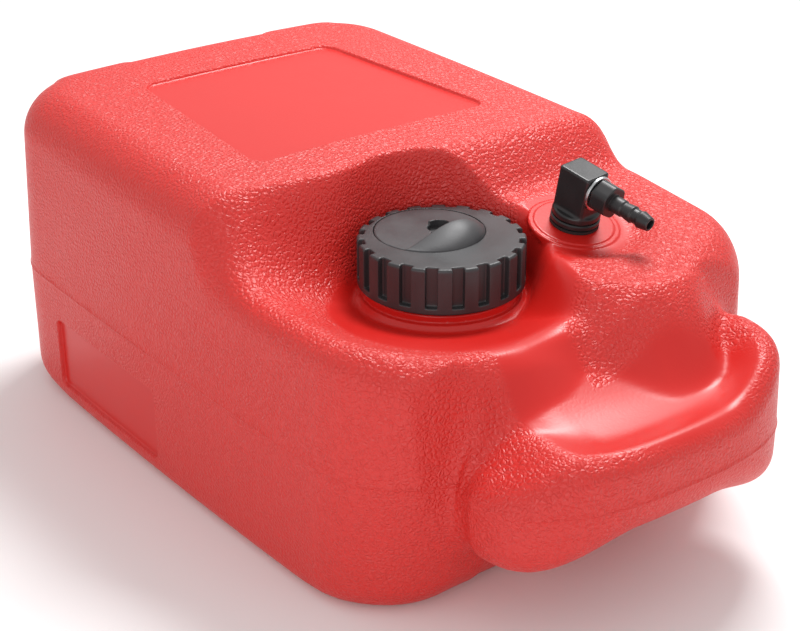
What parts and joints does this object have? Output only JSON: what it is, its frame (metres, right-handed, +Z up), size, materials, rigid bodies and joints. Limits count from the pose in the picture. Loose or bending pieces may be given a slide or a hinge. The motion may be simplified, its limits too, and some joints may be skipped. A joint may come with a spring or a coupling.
{
  "type": "outboard fuel tank",
  "caption": "Portable outboard fuel tank lying flat, with moulded carrying handle, vented screw cap in a dished deck, swivelling hose elbow and inner pickup tube with strainer.",
  "frame": {"origin": "bottom centre of the whole part's bounding box, on the surface that the tank lies on", "axes": "+Z up, -Y toward the carrying handle, +X to the side of the fuel outlet"},
  "size_m": [0.256, 0.4308, 0.1768],
  "materials": {
    "tank_plastic": "red polyethylene with a fine leather grain, smooth around cap, outlet and handle inside",
    "cap_plastic": "charcoal moulded plastic, satin",
    "fitting_plastic": "near-black glass-filled plastic, satin",
    "seal_rubber": "black fuel-proof rubber",
    "tube_plastic": "natural fuel-proof plastic tube",
    "bright_metal": "plain bright steel"
  },
  "bodies": {
    "tank": {"tank_shell": "tank_plastic", "outlet_bush": "fitting_plastic", "bush_seal": "seal_rubber", "bush_lock_nut": "fitting_plastic", "elbow_seal": "seal_rubber", "pickup_tube": "tube_plastic", "strainer_cage": "fitting_plastic", "strainer_screen": "bright_metal", "strainer_plug": "fitting_plastic"},
    "gasket": {"cap_gasket": "seal_rubber"},
    "cap": {"cap_shell": "cap_plastic"},
    "dial": {"vent_dial": "cap_plastic", "vent_dial_seal": "seal_rubber", "vent_dial_clip": "bright_metal"},
    "elbow": {"outlet_elbow": "fitting_plastic", "barb_washer": "bright_metal", "hose_barb": "fitting_plastic"}
  },
  "joints": [
    {"name": "cap_rise", "type": "slide", "parent": "tank", "child": "gasket", "axis": [0, 0, 1], "range_m": [0, 0.009]},
    {"name": "cap_turn", "type": "hinge", "parent": "gasket", "child": "cap", "pos_m": [-0.019, -0.05745, 0.145], "axis": [0, 0, 1], "range_deg": [0, 540]},
    {"name": "vent_turn", "type": "hinge", "parent": "cap", "child": "dial", "pos_m": [-0.019, -0.04785, 0.145], "axis": [0, 0, 1], "range_deg": [0, 90]},
    {"name": "outlet_swivel", "type": "hinge", "parent": "tank", "child": "elbow", "pos_m": [0.0485, -0.07795, 0.142], "axis": [0, -0.1994, 0.9799], "range_deg": [-75, 165]}
  ],
  "couplings": [
    {"joint": "cap_rise", "follows": "cap_turn", "m_per_rad": 0.00095493}
  ]
}
